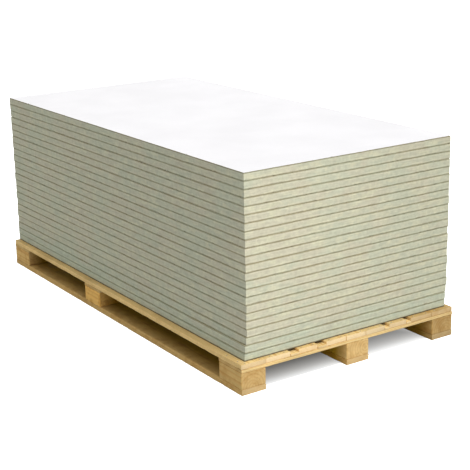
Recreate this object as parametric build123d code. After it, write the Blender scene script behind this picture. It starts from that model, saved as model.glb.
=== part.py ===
from build123d import *
import math
import os

# A stack of moisture-resistant MDF boards on the timber pallet that carries it.
#
# Millimetres, +Z up. The origin is on the floor under the middle of the pallet.
# +X runs along the boards: the near end is at +X and the far end at -X.
# The front long side is at -Y and the back long side at +Y.

# Boards: one full sheet, as the press and the saw leave it
board_length = 2440
board_width = 1220
board_thickness = 38
board_count = 23
board_arris = 0.8

# The stack lies a little askew on the pallet: from its far end it is turned this many degrees to the back.
# The lowest boards, lowest first, haven't followed it all the way.
stack_turn = 0.5
low_board_turns = (0.2, 0.3, 0.45)

# No two boards are stacked quite flush: each lies off its place by up to this much
stacking_error = 1.2

# How far the pallet reaches past the stack: past the middle of each end, and past its long sides at the far end
near_ledge = 30
far_ledge = 8
front_ledge = 27
back_ledge = 35

# Skids: the three boards that lie on the floor, with their upper edges chamfered
# so that the wheels of a pallet truck climb over them
skid_width = 135
skid_thickness = 30
skid_wheel_chamfer = 3
middle_skid_offset = 30

# Blocks: three on each skid, with the corners of the sawn post eased
block_height = 80
end_block_length = 190
middle_block_length = 175
block_corner = 4
middle_row_from_far_end = 1018

# Bearers: the boards that lie across each row of blocks
bearer_thickness = 16

# Deck planks: they run lengthwise, some side by side and some with an open slot between them.
# The centre planks fill what the edge planks, the lone planks and the slots leave of the deck.
# No two are cut off quite alike: each end falls short of the pallet's by up to the cut error.
plank_thickness = 24
edge_plank_width = 137
lone_plank_width = 108
centre_plank_count = 3
plank_gap = 1
slot_widths = (49, 52, 30, 30)
plank_cut_error = 4

timber_arris = 1.2

# What follows from the sizes above
pallet_length = board_length + near_ledge + far_ledge
pallet_width = board_width + front_ledge + back_ledge
near_x = pallet_length / 2
far_x = -pallet_length / 2
front_y = -pallet_width / 2
back_y = pallet_width / 2

blocks_z = skid_thickness
bearers_z = blocks_z + block_height
deck_z = bearers_z + bearer_thickness
stack_z = deck_z + plank_thickness

stack_far_x = far_x + far_ledge
stack_far_y = front_y + front_ledge + board_width / 2


def timber(length, width, thickness, arris=timber_arris):
    """A sawn piece with its corner at the origin and all its edges eased."""
    piece = Box(length, width, thickness, align=Align.MIN)
    return chamfer(piece.edges(), arris)


def board():
    """One sheet, with the middle of its far end's lower edge at the origin."""
    sheet = Box(board_length, board_width, board_thickness, align=(Align.MIN, Align.CENTER, Align.MIN))
    return chamfer(sheet.edges(), board_arris)


def skid():
    """A floor board of full length: square below, chamfered along its two upper edges."""
    plank = Box(pallet_length, skid_width, skid_thickness, align=Align.MIN)
    upper_edges = plank.faces().sort_by(Axis.Z)[-1].edges().filter_by(Axis.X)
    plank = chamfer(upper_edges, skid_wheel_chamfer)
    lower_edges = plank.faces().sort_by(Axis.Z)[0].edges()
    return chamfer(lower_edges, timber_arris)


def block(length):
    """A piece of square post between skid and bearer, with its four upright corners eased."""
    post = Box(length, skid_width, block_height, align=Align.MIN)
    return chamfer(post.edges().filter_by(Axis.Z), block_corner)


def skid_fronts():
    """The front edge of each skid: two are flush with the long sides, one is near the middle."""
    middle = middle_skid_offset - skid_width / 2
    return {"front": front_y, "middle": middle, "back": back_y - skid_width}


def row_spans():
    """Where each row of blocks starts along the pallet, and how long its blocks are."""
    middle_start = far_x + middle_row_from_far_end - middle_block_length / 2
    return {
        "far": (far_x, end_block_length),
        "middle": (middle_start, middle_block_length),
        "near": (near_x - end_block_length, end_block_length),
    }


def plank_ends(number):
    """Where a deck plank starts and ends along the pallet."""
    far_short = plank_cut_error * abs(math.sin(1.9 * number))
    near_short = plank_cut_error * abs(math.sin(3.7 * number))
    return far_x + far_short, near_x - near_short


def plank_groups():
    """The deck, front to back: each group's plank width and the planks that lie side by side."""
    edge_group = 2 * edge_plank_width + plank_gap
    centre_group = pallet_width - 2 * edge_group - 2 * lone_plank_width - sum(slot_widths)
    centre_plank_width = (centre_group + plank_gap) / centre_plank_count - plank_gap
    return (
        (edge_plank_width, 2),
        (lone_plank_width, 1),
        (centre_plank_width, centre_plank_count),
        (lone_plank_width, 1),
        (edge_plank_width, 2),
    )


def plank_places():
    """The front edge and the width of every deck plank."""
    places = []
    y = front_y
    for (width, count), slot in zip(plank_groups(), slot_widths + (0,)):
        for _ in range(count):
            places.append((y, width))
            y += width + plank_gap
        y += slot - plank_gap
    return places


def pallet_pieces():
    """Every piece of the pallet by name, where it lies."""
    pieces = {}
    rows = row_spans()
    for side, y in skid_fronts().items():
        pieces[f"skid_{side}"] = Pos(far_x, y, 0) * skid()
        for row, (x, length) in rows.items():
            pieces[f"block_{row}_{side}"] = Pos(x, y, blocks_z) * block(length)
    for row, (x, length) in rows.items():
        pieces[f"bearer_{row}"] = Pos(x, front_y, bearers_z) * timber(length, pallet_width, bearer_thickness)
    for number, (y, width) in enumerate(plank_places(), 1):
        start, end = plank_ends(number)
        plank = timber(end - start, width, plank_thickness)
        pieces[f"deck_plank_{number}"] = Pos(start, y, deck_z) * plank
    return pieces


def board_pieces():
    """Every board by name, counted from the lowest."""
    sheet = board()
    pieces = {}
    for layer in range(board_count):
        turn = low_board_turns[layer] if layer < len(low_board_turns) else stack_turn
        x = stack_far_x + stacking_error * math.sin(2.4 * layer)
        y = stack_far_y + stacking_error * math.cos(4.1 * layer)
        z = stack_z + layer * board_thickness
        pieces[f"board_{layer + 1:02d}"] = Pos(x, y, z) * Rot(0, 0, turn) * sheet
    return pieces


os.makedirs("parts", exist_ok=True)
for name, solid in {**pallet_pieces(), **board_pieces()}.items():
    export_step(solid, f"parts/{name}.step")
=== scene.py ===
# %% [markdown]
# A stack of moisture-resistant MDF boards on its timber pallet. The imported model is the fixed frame: it
# says where every board and every piece of timber lies, in metres. Each piece below is modelled anew at
# that place, with the edges and the surface that the real one has.

# %% Frame
import math
import random

import bmesh
import bpy
import numpy as np
from mathutils import Matrix, Vector


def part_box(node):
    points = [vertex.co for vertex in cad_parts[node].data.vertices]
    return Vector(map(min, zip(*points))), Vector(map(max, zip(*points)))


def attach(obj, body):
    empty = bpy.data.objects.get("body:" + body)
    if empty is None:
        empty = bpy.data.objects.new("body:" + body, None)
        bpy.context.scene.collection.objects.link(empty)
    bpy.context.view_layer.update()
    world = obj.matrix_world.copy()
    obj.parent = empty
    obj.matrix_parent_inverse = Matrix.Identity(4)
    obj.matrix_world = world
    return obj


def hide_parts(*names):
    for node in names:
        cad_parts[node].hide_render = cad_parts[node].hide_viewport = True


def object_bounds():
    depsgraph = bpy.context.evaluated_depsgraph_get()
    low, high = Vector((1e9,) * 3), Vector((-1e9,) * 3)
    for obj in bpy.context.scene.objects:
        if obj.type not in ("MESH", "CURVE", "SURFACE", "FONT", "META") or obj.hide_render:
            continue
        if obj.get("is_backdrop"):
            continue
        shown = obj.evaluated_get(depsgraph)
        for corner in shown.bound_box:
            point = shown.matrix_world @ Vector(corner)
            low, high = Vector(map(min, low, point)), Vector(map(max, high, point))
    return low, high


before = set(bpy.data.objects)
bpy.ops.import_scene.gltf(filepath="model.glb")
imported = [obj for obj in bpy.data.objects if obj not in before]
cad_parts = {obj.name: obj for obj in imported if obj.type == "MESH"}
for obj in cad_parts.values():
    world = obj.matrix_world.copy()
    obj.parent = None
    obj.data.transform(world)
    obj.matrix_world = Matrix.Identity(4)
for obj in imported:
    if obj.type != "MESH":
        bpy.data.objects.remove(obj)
frame_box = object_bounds()
board_names = sorted(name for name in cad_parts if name.startswith("board_"))
timber_names = sorted(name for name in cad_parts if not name.startswith("board_"))
print(f"{len(board_names)} boards and {len(timber_names)} pieces of timber")

# %% [markdown]
# The camera stands where the photographer's did. Its place, its aim and its focal length were fitted to the
# corners of the stack and the pallet, so that the boards keep their proportions in the picture. A long lens
# seen from over two stack lengths away keeps the upright edges almost parallel.

# %% Camera
picture_pixels = 470
focal_pixels = 1203.4
camera_place = Vector((5.401, -3.399, 2.235))
camera_heading = math.radians(146.65)
camera_dip = math.radians(16.46)
camera_roll = math.radians(-1.25)

camera_data = bpy.data.cameras.new("camera")
camera_data.lens = focal_pixels / picture_pixels * camera_data.sensor_width
camera_data.clip_end = 200
camera = bpy.data.objects.new("camera", camera_data)
bpy.context.scene.collection.objects.link(camera)
bpy.context.scene.camera = camera

forward = Vector((
    math.cos(camera_heading) * math.cos(camera_dip),
    math.sin(camera_heading) * math.cos(camera_dip),
    -math.sin(camera_dip),
))
level_right = forward.cross(Vector((0, 0, 1))).normalized()
level_up = level_right.cross(forward)
right = level_right * math.cos(camera_roll) + level_up * math.sin(camera_roll)
up = level_up * math.cos(camera_roll) - level_right * math.sin(camera_roll)
turn = Matrix((right, up, -forward)).transposed()
camera.matrix_world = Matrix.Translation(camera_place) @ turn.to_4x4()
print(f"lens {camera_data.lens:.1f} mm")

# %% [markdown]
# A material is a net of small nodes. Wiring them one by one takes many lines, so this class has a short
# call for each kind that is used often: the call adds the node, fills its sockets and gives back its
# output. A value may be a number or another node's output. With these calls a material reads as a list of
# what it does.

# %% Node helpers
# A mix node has sockets for numbers, vectors and colours, and these are the ones for colours
colour_a, colour_b, colour_result = 6, 7, 2


def linear(red, green, blue):
    """A colour as it is seen on screen, 0 to 255, as the linear value that a shader takes."""
    parts = [part / 255 for part in (red, green, blue)]
    return tuple(p / 12.92 if p <= 0.04045 else ((p + 0.055) / 1.055) ** 2.4 for p in parts) + (1.0,)


class Net:
    """The nodes of a material or of the world, wired by short calls."""

    def __init__(self, tree):
        self.nodes, self.links = tree.nodes, tree.links

    def put(self, socket, value):
        """Sets an input socket, or links it if the value is another node's output."""
        if isinstance(value, bpy.types.NodeSocket):
            self.links.new(value, socket)
        else:
            socket.default_value = value

    def add(self, kind, *values):
        """A new node, with the values in its first sockets."""
        node = self.nodes.new(kind)
        for socket, value in zip(node.inputs, values):
            self.put(socket, value)
        return node

    def math(self, operation, *values):
        node = self.add("ShaderNodeMath", *values)
        node.operation = operation
        return node.outputs[0]

    def times(self, first, *others):
        """All the values multiplied, one after another."""
        for other in others:
            first = self.math("MULTIPLY", first, other)
        return first

    def vector(self, operation, *values):
        node = self.add("ShaderNodeVectorMath", *values)
        node.operation = operation
        return node.outputs["Value" if operation == "LENGTH" else "Vector"]

    def split(self, vector):
        """The three parts of a vector."""
        return self.add("ShaderNodeSeparateXYZ", vector).outputs

    def place(self):
        """Where a point lies, in metres."""
        return self.nodes.new("ShaderNodeTexCoord").outputs["Object"]

    def attribute(self, name, output="Fac"):
        """What a piece's own attribute says at a point."""
        node = self.nodes.new("ShaderNodeAttribute")
        node.attribute_name = name
        return node.outputs[output]

    def noise(self, place, scale, detail=3.0, roughness=0.55, finer=None):
        """Soft noise. It can be finer along some axes, which draws it out along the others."""
        node = self.nodes.new("ShaderNodeTexNoise")
        self.put(node.inputs["Vector"], self.vector("MULTIPLY", place, finer) if finer else place)
        self.put(node.inputs["Scale"], scale)
        self.put(node.inputs["Detail"], detail)
        self.put(node.inputs["Roughness"], roughness)
        return node.outputs["Fac"]

    def remap(self, value, low, high, to_low=0.0, to_high=1.0, smooth=False):
        """A span of values stretched to another span, with all else kept at its two ends."""
        node = self.add("ShaderNodeMapRange", value, low, high, to_low, to_high)
        node.interpolation_type = "SMOOTHSTEP" if smooth else "LINEAR"
        return node.outputs["Result"]

    def ramp(self, value, stops):
        """A row of colours, each with its place between 0 and 1."""
        node = self.add("ShaderNodeValToRGB", value)
        elements = node.color_ramp.elements
        while len(elements) < len(stops):
            elements.new(0.5)
        for element, (position, colour) in zip(elements, stops):
            element.position = position
            element.color = colour
        return node.outputs["Color"]

    def mix(self, share, first, second, blend="MIX"):
        """The first colour with a share of the second one blended in."""
        node = self.nodes.new("ShaderNodeMix")
        node.data_type = "RGBA"
        node.blend_type = blend
        self.put(node.inputs["Factor"], share)
        self.put(node.inputs[colour_a], first)
        self.put(node.inputs[colour_b], second)
        return node.outputs[colour_result]

    def tint(self, share, colour, by):
        """The colour multiplied by another one, as far as the share says."""
        return self.mix(share, colour, by, "MULTIPLY")

    def shade(self, colour, level):
        """The colour made lighter or darker by one number."""
        grey = self.add("ShaderNodeCombineColor", level, level, level).outputs["Color"]
        return self.tint(1.0, colour, grey)

    def bump(self, height, strength, distance, under=None):
        node = self.nodes.new("ShaderNodeBump")
        self.put(node.inputs["Strength"], strength)
        self.put(node.inputs["Distance"], distance)
        self.put(node.inputs["Height"], height)
        if under is not None:
            self.put(node.inputs["Normal"], under)
        return node.outputs["Normal"]


def new_material(name):
    """A material, its net and the inputs of its shader."""
    material = bpy.data.materials.new(name)
    material.use_nodes = True
    net = Net(material.node_tree)
    return material, net, net.nodes["Principled BSDF"].inputs


# %% [markdown]
# The stage is lit as for a catalogue picture, by an even sky that is a little cool. The camera doesn't see
# that sky. Straight on, in a reflection or through glass, it sees a white backdrop instead. A Light Path
# node tells such rays from those that only light the object, so the background stays white while the sky
# alone sends out the diffuse light.

# %% Sky
white = (1.0, 1.0, 1.0, 1.0)
sky_level = 0.615
sky_tint = (0.94, 0.985, 0.985)

bpy.context.scene.view_settings.view_transform = "Standard"


def seen_rays(net):
    """One for what the camera sees, directly, mirrored or through glass, and nothing for all other light."""
    path = net.nodes.new("ShaderNodeLightPath").outputs
    mirrored = net.math("MAXIMUM", path["Is Camera Ray"], path["Is Glossy Ray"])
    return net.math("MAXIMUM", mirrored, path["Is Transmission Ray"])


world = bpy.data.worlds.new("studio")
bpy.context.scene.world = world
world.use_nodes = True
world_net = Net(world.node_tree)
sky = world_net.nodes["Background"]
world_net.put(sky.inputs["Color"], sky_tint + (1.0,))
world_net.put(sky.inputs["Strength"], sky_level)
backdrop = world_net.add("ShaderNodeBackground", white)
choice = world_net.add("ShaderNodeMixShader", seen_rays(world_net), sky.outputs[0], backdrop.outputs[0])
world_net.put(world_net.nodes["World Output"].inputs["Surface"], choice.outputs["Shader"])
print(f"the sky's strength is {sky_level}")

# %% [markdown]
# One sun gives the picture its direction. It stands off the near end and a little to the back, so it lights
# the short side and leaves the long front side to the sky and the floor, which is why that side looks
# darker. It is as wide as a large softbox, so that its shadows fade out. A small lamp off the near corner
# adds a little light to the short side, most of it on the left.

# %% Sun and lamp
sun_level = 1.85
sun_height = math.radians(54)
sun_bearing = math.radians(12)
sun_softness = math.radians(25)
sun_colour = (1.0, 0.985, 0.96)
lamp_watts = 4.4
lamp_size = 0.5
lamp_place = Vector((2.4, frame_box[0].y + 0.06, 0.85))
lamp_target = Vector((frame_box[1].x, -0.4, 0.5))


def hang_lamp(data, place, from_target):
    """Adds a lamp at a place. It shines back along the direction that leads from its target to it."""
    lamp = bpy.data.objects.new(data.name, data)
    bpy.context.scene.collection.objects.link(lamp)
    lamp.location = place
    lamp.rotation_euler = from_target.to_track_quat("Z", "Y").to_euler()


sun_data = bpy.data.lights.new("sun", "SUN")
sun_data.energy = sun_level
sun_data.angle = sun_softness
sun_data.color = sun_colour
towards_sun = Vector((
    math.cos(sun_bearing) * math.cos(sun_height),
    math.sin(sun_bearing) * math.cos(sun_height),
    math.sin(sun_height),
))
hang_lamp(sun_data, Vector(), towards_sun)

lamp_data = bpy.data.lights.new("corner_lamp", "AREA")
lamp_data.energy = lamp_watts
lamp_data.size = lamp_size
hang_lamp(lamp_data, lamp_place, lamp_place - lamp_target)
print(f"the lamp is {(lamp_place - lamp_target).length:.2f} m from where it points")

# %% [markdown]
# The floor is a plane of white paint. To the camera it also glows, so that it stays white beside the
# pallet. Under the pallet the floor is in real shadow, and to the camera it is also painted a darker grey
# there, painted shade. The glow there is painted light: it fades from the rim inwards, and the half behind
# the middle skid keeps a little more of it, as if light came in from the back. Towards the object the floor
# is darker than it looks, because a real studio floor throws less light back than pure white would.

# %% Floor
floor_half = 40.0
floor_colour = (0.95, 0.955, 0.96)
painted_shade_colour = (0.38, 0.40, 0.42)
floor_bounce = 0.52
fade_start = 0.285
fade_end = 0.040
glow_deep = 0.055
glow_at_rim = 0.60
glow_at_back = 0.11


def floor_glow(net):
    """How much the floor glows, painted light under the pallet, and whether a point lies outside the fade.
    """
    place = net.place()
    outline = (frame_box[1].x, frame_box[1].y, 0)
    past = net.split(net.vector("SUBTRACT", net.vector("ABSOLUTE", place), outline))
    past = net.math("MAXIMUM", past["X"], past["Y"])
    outside = net.math("GREATER_THAN", past, -fade_end)
    # Painted light: under the pallet the glow fades from the rim inwards.
    near_rim = net.remap(past, -fade_start, -fade_end)
    under = net.remap(net.times(near_rim, near_rim), 0.0, 1.0, glow_deep, glow_at_rim)
    skid_low, skid_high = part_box("skid_middle")
    # Painted light: the half behind the middle skid glows a little more.
    behind = net.remap(net.split(place)["Y"], skid_low.y, skid_high.y, 0.0, glow_at_back)
    return net.math("MAXIMUM", net.math("ADD", under, behind), outside), outside


def floor_material():
    """White paint that sends less light back to the object than to the camera, and glows for the camera."""
    material, net, surface = new_material("floor")
    seen = seen_rays(net)
    level, outside = floor_glow(net)
    dim = tuple(floor_bounce * part for part in floor_colour) + (1.0,)
    # Painted shade: under the pallet the camera sees the floor a darker grey.
    seen_colour = net.mix(outside, painted_shade_colour + (1.0,), floor_colour + (1.0,))
    net.put(surface["Base Color"], net.mix(seen, dim, seen_colour))
    net.put(surface["Roughness"], 0.9)
    net.put(surface["Specular IOR Level"], 0.0)
    glow = net.add("ShaderNodeEmission", white, net.times(seen, level))
    paint = net.nodes["Principled BSDF"]
    both = net.add("ShaderNodeAddShader", paint.outputs["BSDF"], glow.outputs["Emission"])
    net.put(net.nodes["Material Output"].inputs["Surface"], both.outputs["Shader"])
    return material


bpy.ops.object.select_all(action="DESELECT")
bpy.ops.mesh.primitive_plane_add(size=2 * floor_half, location=(0, 0, 0))
floor = bpy.context.object
floor.name = "floor"
floor.data.materials.append(floor_material())
floor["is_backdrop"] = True
print(f"the floor is {2 * floor_half:.0f} m wide")

# %% [markdown]
# Timber is sawn, so each piece of it starts as a box between two corners. What makes it real is the rest:
# eased edges, and faces fine enough to be worn and warped. The helpers below add the box, bevel its edges
# and then cut every long edge into short ones, one direction after another, which leaves an even grid on
# all faces. The boards and the nails use some of the same helpers.

# %% Shaping helpers
straight_share = 0.999
long_share = 0.9
most_parts = 10


def select_only(piece):
    """An operator acts on all that is selected, so this leaves one piece selected."""
    bpy.ops.object.select_all(action="DESELECT")
    bpy.context.view_layer.objects.active = piece
    piece.select_set(True)


def add_box(name, low, high):
    """A box between two corners, with its place in its mesh."""
    bpy.ops.object.select_all(action="DESELECT")
    bpy.ops.mesh.primitive_cube_add(size=1, location=(low + high) / 2)
    piece = bpy.context.object
    piece.name = name
    piece.scale = high - low
    bpy.ops.object.transform_apply(location=True, rotation=True, scale=True)
    return piece


def edit(piece):
    select_only(piece)
    bpy.ops.object.mode_set(mode="EDIT")
    bpy.ops.mesh.select_mode(type="EDGE")


def leave_edit():
    bpy.ops.object.mode_set(mode="OBJECT")


def pick_edges(piece, test):
    """Selects the edges that pass the test and nothing else."""
    bpy.ops.mesh.select_all(action="DESELECT")
    mesh = bmesh.from_edit_mesh(piece.data)
    for edge in mesh.edges:
        if test(edge):
            edge.select_set(True)
    bmesh.update_edit_mesh(piece.data)


def runs_along(edge, axis):
    """How long an edge is if it runs along an axis, and nothing if it doesn't."""
    reach = edge.verts[1].co - edge.verts[0].co
    length = reach.length
    return length if abs(reach[axis]) > straight_share * length else 0.0


def split_along(piece, axis, cell):
    """Cuts every long edge along an axis into parts of about one cell, a few cuts at a time."""
    while True:
        mesh = bmesh.from_edit_mesh(piece.data)
        longest = max(runs_along(edge, axis) for edge in mesh.edges)
        parts = min(round(longest / cell), most_parts)
        if parts < 2:
            return
        pick_edges(piece, lambda edge: runs_along(edge, axis) > long_share * longest)
        bpy.ops.mesh.subdivide(number_cuts=parts - 1)


def ease_edges(arris):
    """Rounds all twelve edges of the box that is being edited."""
    bpy.ops.mesh.select_all(action="SELECT")
    bpy.ops.mesh.bevel(offset=arris, segments=2, affect="EDGES")


# %% [markdown]
# Sawn stock is never quite flat, and its edges are chipped. A Displace modifier can show both: it moves
# each point along its normal by a noise in world space, so no two pieces get the same dents. All the noises
# stay between nought and one and only draw the skin in, so a piece never grows past its frame. The helpers
# here also write attributes, one value for each point, for a material to read.

# %% Wear helpers
smooth_angle = math.radians(38)


def clouds(name, size, depth=2, contrast=1.0, brightness=1.0):
    """A soft noise for a Displace modifier, kept between 0 and 1 so that it can't push a face outwards."""
    texture = bpy.data.textures.new(name, "CLOUDS")
    texture.use_clamp = True
    texture.noise_scale = size
    texture.noise_depth = depth
    texture.contrast = contrast
    texture.intensity = brightness
    return texture


def wear(piece, texture, depth, group=""):
    """Draws a piece's skin in by up to a depth where the noise is strong, all over or in one group."""
    modifier = piece.modifiers.new("wear", "DISPLACE")
    modifier.texture = texture
    modifier.texture_coords = "GLOBAL"
    modifier.vertex_group = group
    modifier.mid_level = 0.0
    modifier.strength = -depth
    select_only(piece)
    bpy.ops.object.modifier_apply(modifier=modifier.name)


def group_points(piece, name, chosen):
    """A vertex group of the points that an array of yes and no picks."""
    piece.vertex_groups.new(name=name).add(np.flatnonzero(chosen).tolist(), 1.0, "REPLACE")


def smooth(piece):
    select_only(piece)
    bpy.ops.object.shade_smooth_by_angle(angle=smooth_angle)


def points(piece):
    """The places of all points of a mesh, one row for each."""
    flat = np.empty(len(piece.data.vertices) * 3, dtype=np.float32)
    piece.data.vertices.foreach_get("co", flat)
    return flat.reshape(-1, 3)


def store(piece, name, kind, values):
    """Writes one value for each point of a mesh, for its material to read."""
    attribute = piece.data.attributes.new(name, kind, "POINT")
    field = "vector" if kind == "FLOAT_VECTOR" else "value"
    attribute.data.foreach_set(field, np.asarray(values, dtype=np.float32).ravel())


# %% [markdown]
# All boards are cut to one size, so one of them gives the measure of all. The frame only tells the box
# round each board, and the boards lie a little turned. But a full sheet is half as wide as it is long. For
# such a sheet, the box's length less half its width is three quarters of the sheet's length times the
# cosine of the turn, and its width less half its length is the same times the sine. That gives both the
# turn and the size.

# %% Size of a board
length_share = 0.75


def turned_sheet(box_size):
    """Those two differences: the one that holds the cosine of the turn, and the one that holds its sine."""
    return box_size.x - box_size.y / 2, box_size.y - box_size.x / 2


def board_turn(box_size):
    """How far the board inside a box is turned."""
    along, across = turned_sheet(box_size)
    return math.atan2(across, along)


board_low, board_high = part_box(board_names[-1])
top_box = board_high - board_low
board_length = math.hypot(*turned_sheet(top_box)) / length_share
board_size = Vector((board_length, board_length / 2, top_box.z))
board_thickness = board_size.z
print(f"a board is {board_size.x:.3f} by {board_size.y:.3f} by {board_size.z:.3f} m")
print(f"the top one is turned {math.degrees(board_turn(top_box)):.2f} degrees")

# %% [markdown]
# MDF is wood fibre and resin pressed into a sheet. The press packs the two faces denser than the heart, so
# a sawn edge shows a dark line along each face and a plain middle. Just inside each dark line the edge is
# drawn a little paler. The fibre is dyed green, the sign of a board that withstands moisture, but not
# evenly: it turns beige in patches. Some of them belong to one board, and some carry on from board to board,
# as when a whole batch is cut at once.
# Each board carries an attribute, sheet, with the place of every point on the board itself, and another,
# seed, that moves the patterns along, so that no two boards are alike.

# %% Sawn edge of MDF
heart_green = linear(195, 195, 172)
heart_beige = linear(200, 194, 171)
heart_pale = linear(205, 201, 174)
skin_brown = linear(162, 152, 122)
skin_green = linear(160, 158, 131)
dark_band_colour = linear(92, 80, 58)
cool_tint = linear(244, 252, 255)
seed_step = (3.7, 1.9)
batch_shift = (2.7, 1.9, 0.6)
own_hue_share = 0.45
skin_wobble = 0.004
skin_start, skin_end = 0.0005, 0.0065
pale_line_rise = (0.0045, 0.0075)
pale_line_fall = (0.0085, 0.012)
dark_band_start, dark_band_height = 0.0015, 0.009


def own_place(net, sheet):
    """The place on the board, moved along by the board's seed."""
    seed = net.attribute("seed")
    shift = net.add("ShaderNodeCombineXYZ", *(net.times(seed, step) for step in seed_step))
    return net.vector("ADD", sheet, shift.outputs["Vector"])


def dyed_fibre(net, own):
    """The colour of the heart and of the dense skin."""
    own_hue = net.noise(own, 8.0, roughness=0.6, finer=(1, 1, 3))
    batch_hue = net.noise(net.vector("ADD", net.place(), batch_shift), 4.5)
    hue = net.math("ADD", net.times(own_hue, own_hue_share), net.times(batch_hue, 1 - own_hue_share))
    heart = net.mix(net.remap(hue, 0.43, 0.56), heart_green, heart_beige)
    patches = net.noise(own, 13.0, finer=(1, 1, 2.5))
    heart = net.mix(net.remap(patches, 0.5, 0.65), heart, heart_pale)
    skin = net.mix(net.remap(hue, 0.44, 0.56), skin_green, skin_brown)
    return heart, skin


def depth_in_board(net, sheet, streaks):
    """How far a point lies from the nearer face, wavering a little with the streaks."""
    height = net.split(sheet)["Z"]
    depth = net.math("MINIMUM", height, net.math("SUBTRACT", board_thickness, height))
    return net.math("ADD", depth, net.times(net.math("SUBTRACT", streaks, 0.5), skin_wobble))


def sawn_edge(net, depth, heart, skin, streaks, mottle, fibres):
    """The edge's colour: dense skins, pale lines and mottled fibre, then the cool tint and the dark bands.
    """
    edge = net.mix(net.remap(depth, skin_start, skin_end, 1.0, 0.0, smooth=True), heart, skin)
    pale_line = net.times(net.remap(depth, *pale_line_rise), net.remap(depth, *pale_line_fall, 1.0, 0.0))
    tone = net.times(
        net.remap(streaks, 0.3, 0.7, 0.88, 1.10),
        net.remap(fibres, 0.25, 0.75, 0.93, 1.05),
        net.remap(mottle, 0.3, 0.7, 0.90, 1.08),
        net.remap(pale_line, 0.0, 1.0, 0.985, 1.075),
    )
    edge = net.tint(net.attribute("cool"), net.shade(edge, tone), cool_tint)
    # Painted contact shade along the lowest board's lower edge; a fainter dark band atop the top board.
    dark_share = net.times(net.attribute("dark_edge_band"), net.remap(depth, dark_band_start, dark_band_height, 1.0, 0.0))
    return net.mix(dark_share, edge, dark_band_colour)


# %% [markdown]
# The faces are sanded, pale and almost white, with faint clouds and a fine fluff of fibre. Along the rim the
# skin's own colour shows in a ragged strip. One material holds both finishes, and tells a face from an edge
# by whether the surface looks up or down. Both get a little relief from bump: saw streaks on the edge, and
# the fluff all over.

# %% MDF material
face_pale = linear(248, 245, 248)
face_grey = linear(243, 240, 243)
edge_roughness = 0.86
face_roughness = 0.6
mdf_gloss = 0.3
level_start, level_full = 0.9, 0.97


def edge_distance(net, sheet):
    """How far a point lies in from the board's nearest side."""
    past = net.split(net.vector("SUBTRACT", tuple(board_size / 2), net.vector("ABSOLUTE", sheet)))
    return net.math("MINIMUM", past["X"], past["Y"])


def sanded_face(net, sheet, own, skin, mottle, fluff):
    cloud = net.noise(own, 3.0, detail=4.0)
    face = net.mix(net.remap(cloud, 0.35, 0.65), face_grey, face_pale)
    face = net.shade(face, net.remap(fluff, 0.3, 0.7, 0.975, 1.01))
    ragged = net.times(net.attribute("rim"), net.remap(mottle, 0.3, 0.7, 0.7, 1.2))
    return net.mix(net.math("LESS_THAN", edge_distance(net, sheet), ragged), face, skin)


def mdf_material():
    material, net, surface = new_material("mdf_board")
    sheet = net.attribute("sheet", "Vector")
    own = own_place(net, sheet)
    streaks = net.noise(own, 1.0, detail=4.0, roughness=0.65, finer=(14, 14, 230))
    mottle = net.noise(own, 55.0, detail=4.0, roughness=0.6)
    fibres = net.noise(own, 1.0, roughness=0.7, finer=(150, 150, 900))
    fluff = net.noise(own, 260.0, roughness=0.7)

    heart, skin = dyed_fibre(net, own)
    edge = sawn_edge(net, depth_in_board(net, sheet, streaks), heart, skin, streaks, mottle, fibres)
    face = sanded_face(net, sheet, own, skin, mottle, fluff)
    normal = net.nodes.new("ShaderNodeNewGeometry").outputs["True Normal"]
    is_face = net.remap(net.math("ABSOLUTE", net.split(normal)["Z"]), level_start, level_full)
    net.put(surface["Base Color"], net.mix(is_face, edge, face))
    net.put(surface["Roughness"], net.remap(is_face, 0.0, 1.0, edge_roughness, face_roughness))
    net.put(surface["Specular IOR Level"], mdf_gloss)

    saw_marks = net.bump(net.math("ADD", net.times(streaks, 0.6), fibres), 0.35, 0.0006)
    net.put(surface["Normal"], net.bump(fluff, 0.06, 0.0002, under=saw_marks))
    return material


mdf = mdf_material()
print(f"the MDF takes {len(mdf.node_tree.nodes)} nodes")

# %% [markdown]
# One board is modelled once. Its outline is a plane without its face, cut into short edges, and that loop
# is extruded upwards through the heights of the profile: underside, eased edge, sawn wall, eased edge, top.
# Where the profile steps in, the loop is scaled, because scaling a rectangle about its middle moves all
# four sides by the same amount. Caps close it.

# %% Pattern board
board_cell = 0.010
arris = 0.0007
cap_ring = 0.005
wall_levels = (0.25, 0.5, 0.75)


def size_at(step_in):
    """The outline's length and width where the profile steps in by that much."""
    return board_size.x - 2 * step_in, board_size.y - 2 * step_in


def scale_outline(old_step, new_step):
    (old_x, old_y), (new_x, new_y) = size_at(old_step), size_at(new_step)
    bpy.ops.transform.resize(value=(new_x / old_x, new_y / old_y, 1), center_override=(0, 0, 0))


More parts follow.
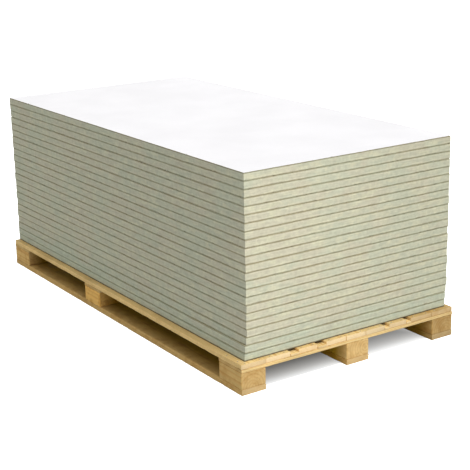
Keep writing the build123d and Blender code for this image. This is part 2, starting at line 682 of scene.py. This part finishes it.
def model_board():
    """The sheet, standing on its own underside, with its middle at the origin."""
    bpy.ops.object.select_all(action="DESELECT")
    bpy.ops.mesh.primitive_plane_add(size=1)
    sheet = bpy.context.object
    sheet.scale = (board_size.x, board_size.y, 1)
    bpy.ops.object.transform_apply(location=True, rotation=True, scale=True)
    edit(sheet)
    bpy.ops.mesh.select_all(action="SELECT")
    bpy.ops.mesh.delete(type="ONLY_FACE")
    for axis in (0, 1):
        split_along(sheet, axis, board_cell)

    profile = [(cap_ring, 0.0), (arris, 0.0), (0.0, arris)]
    profile += [(0.0, share * board_thickness) for share in wall_levels]
    profile += [(0.0, board_thickness - arris), (arris, board_thickness), (cap_ring, board_thickness)]
    bpy.ops.mesh.select_all(action="SELECT")
    scale_outline(0.0, cap_ring)
    bpy.ops.mesh.edge_face_add()
    bpy.ops.mesh.select_mode(type="FACE")
    for (old_step, old_height), (new_step, new_height) in zip(profile, profile[1:]):
        rise = (0, 0, new_height - old_height)
        bpy.ops.mesh.extrude_region_move(TRANSFORM_OT_translate={"value": rise})
        scale_outline(old_step, new_step)
    bpy.ops.mesh.select_all(action="SELECT")
    bpy.ops.mesh.normals_make_consistent(inside=False)
    leave_edit()
    return sheet


pattern_board = model_board()
print(f"a board has {len(pattern_board.data.polygons)} faces")

# %% [markdown]
# A copy of the pattern, with its own mesh, takes the place of each board in the frame. The edges drift a
# little in and out, as a saw leaves them, and a finer noise nibbles at the arrises, so that each board is
# chipped in another way. The lowest boards are a little cooler in colour, with a wider strip of skin colour
# along the rim. Two edges get a dark band: the lower one of the lowest board, painted shade where it lies on
# the pallet, and more faintly the upper one of the top board.

# %% Boards
cool_boards = 3.0
top_rim = 0.0022
inner_rim = 0.004
low_rim = 0.012
dark_band_part = 0.3
top_band_darkness = 0.5
drift_depth = 0.0006
nibble_depth = 0.0018
arris_reach = 1.1 * arris
saw_drift = clouds("saw_drift", 0.12)
nibbles = clouds("nibbles", 0.011, contrast=5.0, brightness=0.2)


def store_looks(sheet, local, number):
    """What the material reads: the place on the board, and how this board differs from the others."""
    low_down = max(0.0, 1.0 - (number - 1) / cool_boards)
    is_top = number == len(board_names)
    rim = top_rim if is_top else inner_rim + low_down * low_rim
    # The lowest board's lower band is painted contact shade, where it lies on the pallet.
    dark_share = (number == 1) * (local[:, 2] < dark_band_part * board_thickness)
    top_band = is_top * (local[:, 2] > (1 - dark_band_part) * board_thickness)
    store(sheet, "sheet", "FLOAT_VECTOR", local)
    store(sheet, "seed", "FLOAT", np.full(len(local), float(number)))
    store(sheet, "cool", "FLOAT", np.full(len(local), low_down))
    store(sheet, "rim", "FLOAT", np.full(len(local), rim))
    store(sheet, "dark_edge_band", "FLOAT", dark_share + top_band_darkness * top_band)


def chip_board(sheet, local):
    """Lets the sides drift and nibbles at the arrises."""
    from_edge = np.minimum(board_size.x / 2 - np.abs(local[:, 0]), board_size.y / 2 - np.abs(local[:, 1]))
    from_face = np.minimum(local[:, 2], board_thickness - local[:, 2])
    group_points(sheet, "rim", from_edge < arris_reach)
    group_points(sheet, "arris", (from_edge < arris_reach) & (from_face < arris_reach))
    wear(sheet, saw_drift, drift_depth, "rim")
    wear(sheet, nibbles, nibble_depth, "arris")
    sheet.vertex_groups.clear()


def lay_board(pattern, node):
    """A copy of the pattern board, turned and laid where the node is."""
    low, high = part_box(node)
    sheet = bpy.data.objects.new("mdf_" + node, pattern.data.copy())
    bpy.context.scene.collection.objects.link(sheet)
    local = points(sheet).copy()
    foot = Vector(((low.x + high.x) / 2, (low.y + high.y) / 2, low.z))
    sheet.data.transform(Matrix.Translation(foot) @ Matrix.Rotation(board_turn(high - low), 4, "Z"))
    store_looks(sheet, local, int(node.split("_")[1]))
    chip_board(sheet, local)
    smooth(sheet)
    sheet.data.materials.append(mdf)
    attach(sheet, "root")
    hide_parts(node)
    return sheet


sheets = [lay_board(pattern_board, name) for name in board_names]
bpy.data.objects.remove(pattern_board)
print(f"{len(sheets)} boards are laid, up to {board_high.z:.3f} m")

# %% [markdown]
# The pallet is sawn softwood. Its growth rings are drawn in the solid, as in a real tree: each piece
# carries an attribute, grain, with the place of every point measured from the tree's pith, along the trunk
# first. The distance from that axis gives the rings, so a plank shows long flames on its face and arcs on
# its end, with no seam between them. Some cells of a Voronoi pattern hold a knot, and the rings bend round
# it.

# %% Growth rings and knots
early_wood = linear(254, 225, 162)
late_wood = linear(226, 178, 106)
rings_per_metre = 240.0
ring_drift = 5.0
knot_bend = 2.6
knot_cells_per_metre = 7.0
knotless_share = 0.62
knot_core = (0.05, 0.085)
knot_reach = (0.05, 0.30)


def knots(net, grain):
    """How close to a knot a point is, and whether it is in one."""
    cells = net.nodes.new("ShaderNodeTexVoronoi")
    net.put(cells.inputs["Vector"], net.vector("MULTIPLY", grain, (0.5, 1, 1)))
    net.put(cells.inputs["Scale"], knot_cells_per_metre)
    lot = net.add("ShaderNodeSeparateColor", cells.outputs["Color"]).outputs["Red"]
    chosen = net.math("GREATER_THAN", lot, knotless_share)
    distance = cells.outputs["Distance"]
    near_knot = net.times(net.remap(distance, *knot_reach, 1.0, 0.0, smooth=True), chosen)
    in_knot = net.times(net.remap(distance, *knot_core, 1.0, 0.0, smooth=True), chosen)
    return near_knot, in_knot


def growth_ring(net, grain, near_knot):
    """How far a point is through the year's growth, from 0 in spring to 1 when it ends."""
    radius = net.vector("LENGTH", net.vector("MULTIPLY", grain, (0, 1, 1)))
    drift = net.noise(grain, 1.0, finer=(0.9, 7, 7))
    phase = net.math("ADD", net.times(radius, rings_per_metre), net.times(drift, ring_drift))
    return net.math("FRACT", net.math("ADD", phase, net.times(near_knot, knot_bend)))


# %% [markdown]
# Fresh pine is pale yellow. Four attributes say how far a point has gone from that. End bleaches it,
# because sawn ends dry out pale. Inside is painted shade: deep under the deck it darkens the wood to the
# olive tone of light that has bounced off wood many times. Age makes it duller, blurs its rings and leaves
# darker blotches, as on the blocks and skids, which are older than the planks. Tone makes a whole piece, or
# its ends, lighter or darker, and on the deck it also carries painted shade. Fine streaks follow the fibres,
# and the relief adds the marks of the saw across them.

# %% Pine material
mean_wood = linear(246, 212, 147)
knot_wood = linear(128, 78, 44)
weathered = linear(194, 165, 108)
end_wood = linear(250, 224, 182)
painted_inner_shade = linear(196, 186, 52)
aged_wood = linear(207, 187, 144)
blotched_wood = linear(222, 203, 168)
pine_roughness = 0.8
pine_gloss = 0.3


def weather(net, wood, grain, age):
    """The wood as the years have left it for its age, with painted shade where it lies deep under the deck.
    """
    stain = net.noise(grain, 1.0, detail=5.0, roughness=0.6, finer=(3, 12, 12))
    wood = net.mix(net.remap(stain, 0.52, 0.78, 0.0, 0.55), wood, weathered)
    wood = net.mix(net.times(net.attribute("end"), 0.5), wood, end_wood)
    # Painted shade: deep under the deck the wood is tinted a darker olive.
    wood = net.tint(net.attribute("inside"), wood, painted_inner_shade)
    wood = net.tint(age, wood, aged_wood)
    spots = net.noise(net.place(), 24.0, detail=4.0, roughness=0.6)
    return net.tint(net.times(net.remap(spots, 0.46, 0.62, 0.0, 0.75), age), wood, blotched_wood)


def pine_material():
    material, net, surface = new_material("pine")
    grain = net.attribute("grain", "Vector")
    age = net.attribute("age")
    near_knot, in_knot = knots(net, grain)
    ring = growth_ring(net, grain, near_knot)
    wood = net.ramp(ring, [(0.0, early_wood), (0.45, early_wood), (0.86, late_wood), (1.0, early_wood)])
    wood = net.mix(net.times(age, 0.5), wood, mean_wood)
    wood = net.mix(net.times(in_knot, 0.85), wood, knot_wood)
    wood = weather(net, wood, grain, age)

    fibres = net.noise(grain, 1.0, detail=4.0, roughness=0.65, finer=(7, 260, 260))
    broad = net.noise(grain, 1.0, detail=2.0, finer=(2, 9, 9))
    level = net.times(
        net.remap(fibres, 0.25, 0.75, 0.88, 1.08),
        net.remap(broad, 0.3, 0.7, 0.92, 1.06),
        net.attribute("tone"),
    )
    net.put(surface["Base Color"], net.shade(wood, level))
    net.put(surface["Roughness"], pine_roughness)
    net.put(surface["Specular IOR Level"], pine_gloss)

    saw_marks = net.noise(grain, 1.0, detail=2.0, finer=(420, 14, 14))
    height = net.math("ADD", net.times(saw_marks, 0.7), fibres)
    height = net.math("SUBTRACT", height, net.times(ring, 0.35))
    net.put(surface["Normal"], net.bump(height, 0.45, 0.0009))
    return material


pine = pine_material()
print(f"the pine takes {len(pine.node_tree.nodes)} nodes")

# %% [markdown]
# Every piece of the pallet is sawn from the same kind of log, so one function makes them all. It starts
# with the shape: a box at the piece's place, with the deep chamfers that a carpenter gives to a skid's
# upper edges and a block's corners, then all edges eased, and a fine grid over its faces. Three noises draw
# its skin in. A broad one warps it, a fine one roughens it, and a third bites splinters out of its edges.

# %% Timber shapes
timber_cell = 0.012
block_cell = 0.0065
timber_arris = 0.0011
block_corner = 0.004
skid_chamfer = 0.003
near_enough = 0.001
warp_depth = 0.0012
sawn_depth = 0.0005
splinter_depth = 0.0016
splinter_reach = 2.2 * timber_arris
warp = clouds("warp", 0.30)
sawn_skin = clouds("sawn_skin", 0.010, depth=3)
splinters = clouds("splinters", 0.022, depth=3, contrast=5.0, brightness=0.15)


def deep_edges(kind, high):
    """The edges that the carpenter's saw takes off: skids above, blocks at their corners."""
    if kind == "skid":
        return lambda edge: runs_along(edge, 0) and all(v.co.z > high.z - near_enough for v in edge.verts)
    return lambda edge: runs_along(edge, 2)


def shape_timber(name, kind, low, high):
    piece = add_box("sawn_" + name, low, high)
    edit(piece)
    if kind in ("skid", "block"):
        pick_edges(piece, deep_edges(kind, high))
        bpy.ops.mesh.bevel(offset=skid_chamfer if kind == "skid" else block_corner, affect="EDGES")
    ease_edges(timber_arris)
    for axis in range(3):
        split_along(piece, axis, block_cell if kind == "block" else timber_cell)
    leave_edit()
    return piece


def wear_timber(piece, place, low, high):
    from_faces = np.sort(np.minimum(place - np.array(low), np.array(high) - place), axis=1)
    group_points(piece, "edges", from_faces[:, 1] < splinter_reach)
    wear(piece, warp, warp_depth)
    wear(piece, sawn_skin, sawn_depth)
    wear(piece, splinters, splinter_depth, "edges")
    piece.vertex_groups.clear()


# %% [markdown]
# Then comes its look. Each kind of timber has its own: how old its sides are and how much older its ends,
# how dark and how bleached the ends are, and how much wider its rings are than a plank's. Blocks are sawn
# from fast-grown logs, with few wide rings. On top of that, some pieces are lighter, darker or older than
# their kind, as no two pieces of a pallet match. The deck is painted with shade: darker on top, and darkest
# on the walls of its slots and on the strips in them, as far as the stack covers them.

# %% Timber looks
kinds = {
    "deck": dict(age=0.15, end_age=0.0, end_shade=0.90, end_bleach=1.5, ring_width=1.0),
    "bearer": dict(age=0.10, end_age=0.5, end_shade=0.95, end_bleach=0.0, ring_width=1.0),
    "block": dict(age=0.85, end_age=0.0, end_shade=0.86, end_bleach=0.6, ring_width=3.5),
    "skid": dict(age=0.70, end_age=-0.25, end_shade=0.80, end_bleach=1.0, ring_width=1.0),
    "filler": dict(age=0.10, end_age=0.0, end_shade=0.92, end_bleach=1.0, ring_width=1.0),
}
shades = {
    "block_near_front": 1.05, "block_near_middle": 1.18, "block_near_back": 0.88,
    "block_middle_front": 1.60, "block_far_front": 1.16,
    "deck_plank_1": 1.22, "deck_plank_3": 1.15, "deck_plank_4": 1.05, "deck_plank_5": 1.05,
    "deck_plank_6": 0.93, "deck_plank_8": 0.95, "deck_plank_9": 0.91, "bearer_near": 0.93,
    "skid_front": 1.04, "skid_middle": 1.14, "skid_back": 0.81,
}
own_end_shades = {"deck_plank_1": 0.85}
own_ages = {"deck_plank_8": 0.3, "deck_plank_9": 0.4, "block_near_front": -0.2, "block_near_middle": -0.4}
painted_top_shade = 0.78
painted_cover_shade = 0.3
cover_fade = 0.015
cover_margin = 0.003
inside_start, inside_fade = 0.015, 0.08
stack_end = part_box(board_names[0])[1].x
deck_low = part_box("deck_plank_1")[0].z


def pith_place(kind, size, axis, dice):
    """Where the heart of the tree is, across and up from the middle of the piece."""
    wide = size[1 - axis]
    if kind == "block":
        return dice.uniform(-0.35, 0.35) * wide, dice.uniform(-0.6, 0.6) * size.z
    side = dice.choice((-1, 1))
    return dice.uniform(-0.45, 0.45) * wide, side * dice.uniform(0.025, 0.085)


def grain_place(kind, axis, place, low, high, dice):
    """Every point as seen from the pith, along the trunk first."""
    across, up = pith_place(kind, high - low, axis, dice)
    from_middle = (place - np.array((low + high) / 2))[:, [axis, 1 - axis, 2]]
    grain = from_middle - np.array([dice.uniform(0, 50), across, up])
    return grain / kinds[kind]["ring_width"]


def deck_painted_shade(kind, place, high):
    """Painted shade on a plank or strip: its tone is less on top, and little where the stack covers it."""
    depth = high.z - place[:, 2]
    covered = np.clip((stack_end - place[:, 0]) / cover_fade, 0, 1)
    covered = covered * (np.abs(place[:, 1]) < frame_box[1].y - cover_margin)
    tone = 1.0
    if kind == "deck":
        # Painted shade: darker top faces, and darker still on slot walls and strips under the stack.
        tone = np.where(depth < 0.2 * timber_arris, painted_top_shade, 1.0)
        covered = covered * (depth > 1.2 * timber_arris)
    return tone * (1 - (1 - painted_cover_shade) * covered)


def under_deck_shade(place):
    """Painted shade: one deep under the deck, fading out towards the pallet's sides, and nothing above it.
    """
    deep = np.minimum(frame_box[1].x - np.abs(place[:, 0]), frame_box[1].y - np.abs(place[:, 1]))
    return (place[:, 2] < deck_low - near_enough) * np.clip((deep - inside_start) / inside_fade, 0, 1)


# %% [markdown]
# Now all pieces can be sawn. The dice are seeded with each piece's name, so that every run draws the same
# wood. The fibres run along the pallet, but across it in the bearers.

# %% Timber
def dress_timber(piece, name, kind, place, low, high):
    """Writes what the pine material reads."""
    looks = kinds[kind]
    axis = 1 if kind == "bearer" else 0
    dice = random.Random(name)
    at_end = np.minimum(place[:, axis] - low[axis], high[axis] - place[:, axis]) < 0.5 * timber_arris
    store(piece, "grain", "FLOAT_VECTOR", grain_place(kind, axis, place, low, high, dice))
    end_shade = looks["end_shade"] * own_end_shades.get(name, 1.0)
    tone = dice.uniform(0.94, 1.03) * shades.get(name, 1.0) * np.where(at_end, end_shade, 1.0)
    # The deck and the strips carry painted shade in their tone.
    if kind in ("deck", "filler"):
        tone = tone * deck_painted_shade(kind, place, high)
    store(piece, "tone", "FLOAT", tone)
    age = looks["age"] + own_ages.get(name, 0.0) + dice.uniform(-0.15, 0.15)
    store(piece, "age", "FLOAT", age + at_end * looks["end_age"])
    store(piece, "end", "FLOAT", at_end * looks["end_bleach"])
    # Painted shade deep under the deck, read by the material as inside.
    store(piece, "inside", "FLOAT", under_deck_shade(place))


def saw_timber(name, low, high):
    """A finished piece of timber between two corners. The first word of its name is its kind."""
    kind = name.split("_")[0]
    piece = shape_timber(name, kind, low, high)
    place = points(piece).copy()
    dress_timber(piece, name, kind, place, low, high)
    wear_timber(piece, place, low, high)
    smooth(piece)
    piece.data.materials.append(pine)
    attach(piece, "root")
    return piece


for name in timber_names:
    saw_timber(name, *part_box(name))
    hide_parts(name)

# %% [markdown]
# Over the two end bearers the slots between the planks are packed with thin strips of the same wood, so
# that from the end only a narrow dark gap shows under the boards. A strip fills the lower half of its slot
# and is as long as the bearer under it is wide. The planks' own places say where the slots are.

# %% Slot fillers
filler_height = 0.012
filler_play = 0.0005
widest_joint = 0.01


def slots():
    """Where one plank ends and the next one starts, for each open slot of the deck."""
    planks = [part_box(name) for name in timber_names if name.startswith("deck_plank")]
    for (_, before), (after, _) in zip(planks, planks[1:]):
        if after.y - before.y > widest_joint:
            yield before.y, after.y


fillers = []
for row in ("far", "near"):
    bearer_low, bearer_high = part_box("bearer_" + row)
    for number, (start, end) in enumerate(slots(), 1):
        low = Vector((bearer_low.x, start + filler_play, bearer_high.z))
        high = Vector((bearer_high.x, end - filler_play, bearer_high.z + filler_height))
        fillers.append(saw_timber(f"filler_{row}_{number}", low, high))
print(f"{len(fillers)} strips pack the slots")

# %% [markdown]
# Nails hold the planks down on the bearers. Most are driven where the boards hide them now, but some heads
# show on the ledges beside the stack. A head is a flat disc with a slightly domed top, pulled a little into
# the wood, so it starts as a short cylinder: its upper edge is bevelled, and its top face is inset and
# lifted. It is dull wire steel with a few brown spots of rust.

# %% Nail head
nail_radius = 0.0032
nail_height = 0.0022
nail_proud = 0.0009
nail_sides = 16
bare_steel = linear(186, 178, 160)
rusty_steel = linear(150, 112, 78)


def steel_material():
    material, net, surface = new_material("nail_steel")
    rust = net.remap(net.noise(net.place(), 420.0), 0.52, 0.62)
    net.put(surface["Base Color"], net.mix(rust, bare_steel, rusty_steel))
    net.put(surface["Roughness"], net.remap(rust, 0.0, 1.0, 0.42, 0.8))
    net.put(surface["Metallic"], 0.6)
    return material


def model_nail():
    """The head of a nail, with the wood's surface at height nought."""
    bpy.ops.object.select_all(action="DESELECT")
    middle = nail_proud - nail_height / 2
    bpy.ops.mesh.primitive_cylinder_add(
        vertices=nail_sides, radius=nail_radius, depth=nail_height, location=(0, 0, middle))
    head = bpy.context.object
    bpy.ops.object.transform_apply(location=True, rotation=True, scale=True)
    edit(head)
    pick_edges(head, lambda edge: all(v.co.z > middle for v in edge.verts))
    bpy.ops.mesh.bevel(offset=nail_proud / 2, segments=2, affect="EDGES")
    bpy.ops.mesh.select_mode(type="FACE")
    bpy.ops.mesh.select_all(action="DESELECT")
    mesh = bmesh.from_edit_mesh(head.data)
    top = max(mesh.faces, key=lambda face: face.calc_center_median().z)
    top.select_set(True)
    bmesh.update_edit_mesh(head.data)
    bpy.ops.mesh.inset(thickness=nail_radius / 2)
    bpy.ops.transform.translate(value=(0, 0, nail_proud / 3))
    leave_edit()
    return head


steel = steel_material()
pattern_nail = model_nail()
print(f"a nail head has {len(pattern_nail.data.polygons)} faces")

# %% [markdown]
# Two nails go wherever a plank crosses a bearer: along the near end through all planks, and along both long
# sides through the outer planks. Only those are made that no board would press on. Whether a board is over
# a place is found by turning the place back by the board's own turn and comparing it with half a sheet.

# %% Nails
nail_inset = 0.013
nail_pitch = 0.045
nail_across = 0.3


def clear_of_boards(x, y):
    """Whether a nail's head at a place has no board over it."""
    for name in board_names:
        low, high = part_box(name)
        turned = Matrix.Rotation(-board_turn(high - low), 2)
        from_middle = turned @ (Vector((x, y)) - (low.xy + high.xy) / 2)
        past = max(abs(from_middle.x) - board_size.x / 2, abs(from_middle.y) - board_size.y / 2)
        if past < 2 * nail_radius:
            return False
    return True


def nail_places():
    """Two nails wherever a plank crosses a bearer, near the pallet's sides and its near end."""
    for plank in sorted(name for name in timber_names if name.startswith("deck_plank")):
        low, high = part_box(plank)
        middle = (low.y + high.y) / 2
        for side in (-1, 1):
            yield high.x - nail_inset, middle + side * nail_across * (high.y - low.y), high.z
    for plank, inwards in (("deck_plank_1", 1), ("deck_plank_9", -1)):
        low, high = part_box(plank)
        edge_y = low.y if inwards > 0 else high.y
        for bearer in ("bearer_far", "bearer_middle", "bearer_near"):
            bearer_low, bearer_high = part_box(bearer)
            for side in (-1, 1):
                x = (bearer_low.x + bearer_high.x) / 2 + side * nail_pitch
                yield x, edge_y + inwards * nail_inset, high.z


nails = []
for x, y, z in nail_places():
    if not clear_of_boards(x, y):
        continue
    nail = bpy.data.objects.new(f"nail_{len(nails) + 1:02d}", pattern_nail.data.copy())
    bpy.context.scene.collection.objects.link(nail)
    nail.data.transform(Matrix.Translation((x, y, z)))
    smooth(nail)
    nail.data.materials.append(steel)
    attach(nail, "root")
    nails.append(nail)
bpy.data.objects.remove(pattern_nail)
print(f"{len(nails)} nail heads show")

# %% [markdown]
# The last step measures the bounds of the dressed model.

# %% Finish
low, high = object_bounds()
